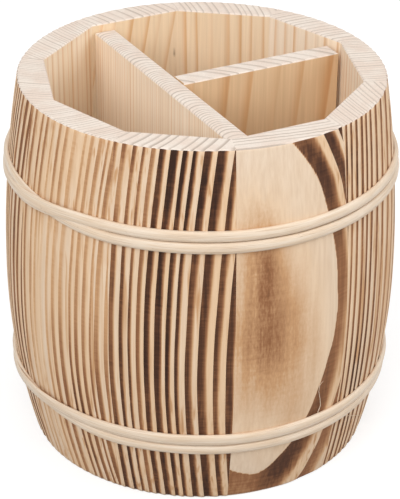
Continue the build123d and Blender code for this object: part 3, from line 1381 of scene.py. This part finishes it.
@dataclass(frozen=True)
class SplitCane:
    """Shaved cane: cream, with fine lines along it and a few small dark flecks, and painted shade on its
    rounded sides.
    """

    cream: Colour = linear(234, 217, 197)
    straw: Colour = linear(227, 204, 178)
    line: Colour = linear(188, 157, 128)
    fleck: Colour = linear(120, 92, 66)
    # Painted shade for the strips' rounded sides, in an orange brown.
    side_shade: Colour = linear(196, 146, 108)
    hollow: Colour = linear(233, 229, 222)

    def make(self) -> Finish:
        """Makes the material.

        Returns:
            The material.
        """
        recipe = Recipe(bpy.data.materials.new("split_cane"))
        cloud = recipe.strip_grain(0.05, 0.9, 2.0)
        line = recipe.strip_grain(0.035, 4.5, 3.0)
        fine = recipe.strip_grain(0.2, 14.0, 3.0)
        spot = recipe.strip_grain(0.35, 2.6, 1.0)
        # Painted shade: the rounded sides of a strip, where it meets the next strip and the barrel, darken
        # towards an orange brown.
        edge = (recipe.noted(Note.EDGE) + (cloud - 0.5) * 0.3).within(0.56, 0.78)
        colour = recipe.blend(cloud.within(0.35, 0.65), self.cream, self.straw)
        colour = recipe.blend(line.within(0.52, 0.68) * 0.65, colour, self.line)
        colour = recipe.blend(spot.within(0.74, 0.8) * 0.7, colour, self.fleck)
        colour = recipe.blend(edge * 0.6, colour, self.side_shade)
        return recipe.surface({
            "Base Color": recipe.shaded(colour, fine, self.hollow, 0.66, 0.7), "Roughness": 0.5,
            "Normal": recipe.bump(fine * 0.5 - line * 0.5, 0.08, 0.6)})


@dataclass
class Finishes:
    """The materials of the caddy, each made once."""

    charred: Finish = field(default_factory=lambda: CharredFace().make())
    planed: Finish = field(default_factory=lambda: PlanedFace().make())
    end_grain: Finish = field(default_factory=lambda: EndGrain().make())
    cane: Finish = field(default_factory=lambda: SplitCane().make())


# The boards' woods


def seeded_scale(seed: int, first: float, mean_width: float, rings: int, burn: float) -> RingScale:
    """Ring widths for a board whose rings the photograph doesn't show.

    Args:
        seed: what makes one board's rings differ from the next.
        first: where the first ring starts, in mm.
        mean_width: the rings' mean width, in mm.
        rings: how many rings there are.
        burn: how dark the soft wood is on average.

    Returns:
        The board's ring scale.
    """
    draw = np.random.default_rng(seed)
    widths = mean_width * draw.uniform(0.7, 1.35, rings)
    soft = draw.uniform(0.34, 0.58, rings)
    depth = np.clip(burn * draw.uniform(0.75, 1.15, rings), 0.1, 1.0)
    return RingScale(first, tuple(widths), tuple(soft), tuple(depth))


def wood_of_staves() -> list[Stave]:
    """Gives every stave its own rings and scorch.

    Returns:
        The staves, in order round the tub.
    """
    left_rings = RingScale(
        39.5, (4.4, 2.7, 3.8, 2.9, 3.0, 3.4, 4.3, 2.3, 2.8, 2.8, 1.7, 3.3, 3.0),
        (0.32, 0.36, 0.34, 0.3, 0.4, 0.46, 0.4, 0.4, 0.45, 0.48, 0.42, 0.5, 0.5),
        (0.6, 0.7, 0.65, 0.4, 0.6, 0.7, 0.75, 0.9, 0.9, 0.85, 0.9, 0.95, 0.9))
    middle_rings = RingScale(
        40.5, (3.6, 3.1, 2.7, 2.5, 3.3, 3.5, 2.9, 3.2, 3.7, 4.6, 3.6, 3.5),
        (0.46, 0.38, 0.33, 0.55, 0.55, 0.62, 0.49, 0.34, 0.53, 0.54, 0.45, 0.6),
        (0.85, 0.95, 0.8, 0.6, 0.95, 1.0, 1.0, 1.0, 0.95, 1.0, 0.9, 0.95))
    oval_rings = RingScale(
        -0.9, (0.9, 0.3, 0.21, 0.2, 0.24, 0.2, 0.26, 0.22, 0.3),
        (0.3, 0.62, 0.66, 0.6, 0.6, 0.6, 0.6, 0.6, 0.6),
        (0.04, 0.9, 0.85, 0.95, 1.0, 0.9, 0.9, 0.9, 0.9))
    right_rings = RingScale(
        128.5, (4.5, 4.5, 4.7, 4.8, 4.1, 3.8, 3.0, 2.6, 3.2, 3.0, 2.5, 2.6),
        (0.38, 0.37, 0.36, 0.35, 0.34, 0.36, 0.4, 0.4, 0.39, 0.37, 0.34, 0.34),
        (0.8, 0.85, 0.85, 0.9, 0.95, 1.0, 1.0, 1.0, 0.95, 0.95, 0.9, 0.95))
    quiet = Scorch(0.75)
    left_scorch = Scorch(0.38, (
        Patch(10, 24, 17, 34, 0.5), Patch(-2, 50, 5, 26, 0.2), Patch(-20, 132, 12, 20, 0.4),
        Patch(-5, 132, 5, 22, 0.3), Patch(16, 126, 8, 20, 0.2), Patch(-22, 70, 5, 60, 0.5)))
    middle_scorch = Scorch(0.9, (
        Patch(-3, 84, 7, 34, 0.25), Patch(8, 132, 14, 18, 0.25), Patch(-19, 130, 11, 16, -0.4),
        Patch(16, 44, 8, 20, -0.12), Patch(-10, 20, 16, 24, 0.15)))
    oval_scorch = Scorch(0.6, (Patch(22, 142, 20, 30, 0.5), Patch(1, 9, 9, 12, 0.4)), (
        Patch(-14, 66, 7, 13, 0.24), Patch(-13, 95, 5.5, 17, 0.47), Patch(-3, 68, 8, 17, 0.14),
        Patch(-14, 78, 20, 36, 0.31), Patch(-16, 118, 9, 14, 0.12), Patch(0, 44, 24, 24, 0.13)))
    right_scorch = Scorch(0.6, (Patch(-14, 128, 9, 24, 0.4), Patch(-14, 44, 9, 26, 0.35)))
    pin_knot = Patch(-17.0, 125, 0.36, 0.9, 1.0)
    ovals = CathedralRings(oval_rings, -11.4, 79, 44, 29.2, 68.5, (1.6, 1.88), 0.0035, 0.1)
    return [
        # Staves 1 and 10 get the palest bare wood as painted light, offsetting the shade deep in the right
        # compartment; the other staves are set to how tan each inner wall looks.
        Stave(1, PithRings(seeded_scale(1, 55, 4.6, 14, 0.85), -80, 30, -0.01), quiet, tone=0.1),
        Stave(2, PithRings(seeded_scale(2, 75, 5.2, 14, 0.8), 96, 20, 0.02), quiet, tone=0.4),
        Stave(3, PithRings(seeded_scale(3, 60, 6.2, 12, 0.8), 88, 40, -0.18), quiet, (pin_knot,), tone=0.45),
        Stave(4, PithRings(seeded_scale(4, 42, 3.1, 20, 0.85), -66, 36, 0.02), quiet),
        Stave(5, PithRings(seeded_scale(5, 40, 2.9, 22, 0.75), -62, 40, 0.01), Scorch(0.85)),
        Stave(6, PithRings(left_rings, -51.5, 44.3, 0.0197, -0.0265), left_scorch),
        Stave(7, PithRings(middle_rings, -52.1, 42.1, 0.0442, -0.0484), middle_scorch, end_rate=1),
        Stave(8, ovals, oval_scorch, columns=120, rows=150, end_rate=1),
        Stave(9, PithRings(right_rings, 121.3, 157.1, 0.0028, 0.0354), right_scorch),
        Stave(10, PithRings(seeded_scale(10, 70, 3.4, 20, 0.85), 100, 60, 0.01), quiet, tone=0.05),
    ]


def insert_boards() -> list[DividerBoard]:
    """Gives each board of the insert its own rings.

    Returns:
        The long board and the short one.
    """
    draw = np.random.default_rng(21)
    widths = []
    while sum(widths) < 130:
        close_band = (sum(widths) // 18) % 2
        widths.append(float(draw.uniform(1.3, 1.8) if close_band else draw.uniform(1.9, 2.9)))
    close = RingScale(340, tuple(widths), (0.5,) * len(widths), (0.3,) * len(widths))
    wide = seeded_scale(33, 300, 8.0, 14, 0.3)
    return [
        # Painted light and shade: the long board is made pale where light falls on its face and the short one
        # tan where its face lies in shade, on top of their own difference in colour.
        DividerBoard("long_divider", True, PithRings(close, -400, 0, 0.004, 0, 0.11, waver=0.06),
                     lines=1.1, tone=0.06, end_rate=1),
        DividerBoard("short_divider", False, PithRings(wide, -230, -232, 0.11, 0, 0.02),
                     lines=1.0, tone=0.95, end_rate=2),
    ]


# Studio


@dataclass
class Studio:
    """A pale floor, soft light and the camera.

    Attributes:
        distance: from the camera to the point that it looks at, in metres.
        elevation: the camera's height above the horizon, in radians.
        azimuth: where the camera stands, in radians, 0 being in front.
        aim_height: the height of the point that it looks at, in metres.
        roll: how far it is turned about its line of sight, in radians.
        lens: its focal length, in mm.
        sky: how strongly the sky lights the caddy.
        seen_sky: how pale the sky itself looks.
        floor_grey: how pale the floor's own colour is.
        floor_glow: what the floor adds to look white.
    """

    distance: float = 0.7366
    elevation: float = 0.5013
    azimuth: float = math.radians(-28)
    aim_height: float = 0.0688
    roll: float = 0.012
    lens: float = 140.67
    sky: float = 0.52
    seen_sky: float = 0.8
    floor_grey: float = 0.45
    floor_glow: float = 0.64

    def build(self) -> None:
        """Sets up the whole studio."""
        self._camera()
        self._floor()
        self._world()
        self._lamp("key", (-0.88, -0.72, 0.98), 1.1, 13.0)
        self._lamp("fill", (0.9, -0.7, 0.7), 1.0, 6.6)
        self._lamp("top", (-0.1, -0.05, 1.25), 1.2, 2.6)
        bpy.context.scene.view_settings.view_transform = "Standard"
        log.info("studio: lens %.1f mm", self.lens)

    def _hang(self, name: str, data: bpy.types.ID, place: Vector, roll: float = 0.0) -> Piece:
        """Puts a camera or a lamp in its place, pointing at the caddy.

        Args:
            name: its name.
            data: the camera or the lamp.
            place: where it goes, in metres.
            roll: how far it is turned about its line of sight, in radians.

        Returns:
            The new object.
        """
        hung = bpy.data.objects.new(name, data)
        hung.location = place
        look = (Vector((0, 0, self.aim_height)) - place).to_track_quat("-Z", "Y")
        hung.rotation_mode = "QUATERNION"
        hung.rotation_quaternion = look @ Quaternion((0, 0, 1), roll)
        bpy.context.scene.collection.objects.link(hung)
        return hung

    def _camera(self) -> None:
        """Sets the camera at the photograph's angle."""
        level = self.distance * math.cos(self.elevation)
        place = Vector((math.sin(self.azimuth) * level, -math.cos(self.azimuth) * level,
                        self.aim_height + self.distance * math.sin(self.elevation)))
        data = bpy.data.cameras.new("camera")
        data.lens, data.sensor_width = self.lens, 36
        bpy.context.scene.camera = self._hang("camera", data, place, self.roll)

    def _floor(self) -> None:
        """Lays a pale floor that looks white and still keeps the caddy's shadow."""
        deselect_all()
        bpy.ops.mesh.primitive_plane_add(size=6)
        floor = bpy.context.object
        floor.name = "floor"
        recipe = Recipe(bpy.data.materials.new("pale_floor"))
        floor.data.materials.append(recipe.surface({
            "Base Color": grey(self.floor_grey), "Roughness": 0.9, "Specular IOR Level": 0.0,
            "Emission Color": recipe.blend(recipe.seen(), BLACK, WHITE),
            "Emission Strength": self.floor_glow}))

    def _world(self) -> None:
        """Hangs an even sky all round, which looks pale."""
        bpy.context.scene.world = bpy.data.worlds.new("sky")
        recipe = Recipe(bpy.context.scene.world)
        light, pale = (recipe.node("ShaderNodeBackground", {}, {"Color": colour, "Strength": strength})
                       for colour, strength in ((WHITE, self.sky), (grey(self.seen_sky), 1.0)))
        mixed = recipe.node("ShaderNodeMixShader", {}, {0: recipe.seen(), 1: light, 2: pale})
        recipe.feed(recipe.tree.nodes["World Output"], {"Surface": mixed})

    def _lamp(self, name: str, place: tuple[float, float, float], size: float, power: float) -> None:
        """Hangs a broad soft lamp.

        Args:
            name: the lamp's name.
            place: where it hangs, in metres.
            size: its width, in metres.
            power: its power, in watts.
        """
        data = bpy.data.lights.new(name, "AREA")
        data.size, data.energy = size, power
        self._hang(name, data, Vector(place))


def plain_boards(finishes: Finishes) -> None:
    """Gives the floor boards, whose solids stay, the bare wood's finish.

    Args:
        finishes: the materials of the caddy.
    """
    for node in ("floor_board_left", "floor_board_right"):
        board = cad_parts[node]
        board.data.materials.clear()
        board.data.materials.append(finishes.planed)
        log.info("%s: bare wood", node)


def main() -> None:
    """Builds the caddy piece by piece, then the studio."""
    logging.basicConfig(level=logging.INFO, format="%(message)s")
    finishes = Finishes()
    for stave in wood_of_staves():
        stave.build(finishes)
    plain_boards(finishes)
    for board in insert_boards():
        board.build(finishes)
    upper = HoopForm(middle=110.3, left=189.5, lift=0.6, spread=1.3, lag=4.0)
    lower = HoopForm(middle=28.1, left=180.0, lift=1.3, spread=0.5, lag=14.0)
    Hoop("upper", upper, (4.1, 4.1)).build(finishes)
    Hoop("lower", lower, (4.0, 4.7)).build(finishes)
    rising = ((-80.4, 31.0, 0.3), (-80.3, 33.3, 0.2), (-79.6, 35.8, 0.1), (-80.2, 39.2, 0.1),
              (-81.1, 43.0, 0.1), (-81.0, 45.8, 0.2), (-80.1, 47.2, 0.5))
    falling = ((-68.5, 25.0, 0.6), (-66.8, 23.4, 0.5), (-62.5, 20.6, 0.5), (-58.0, 17.5, 0.6),
               (-53.5, 14.4, 0.6), (-50.0, 12.0, 0.5))
    LooseFibre("rising_fibre", rising).build(finishes)
    LooseFibre("falling_fibre", falling).build(finishes)
    Studio().build()


if __name__ == "__main__":
    main()
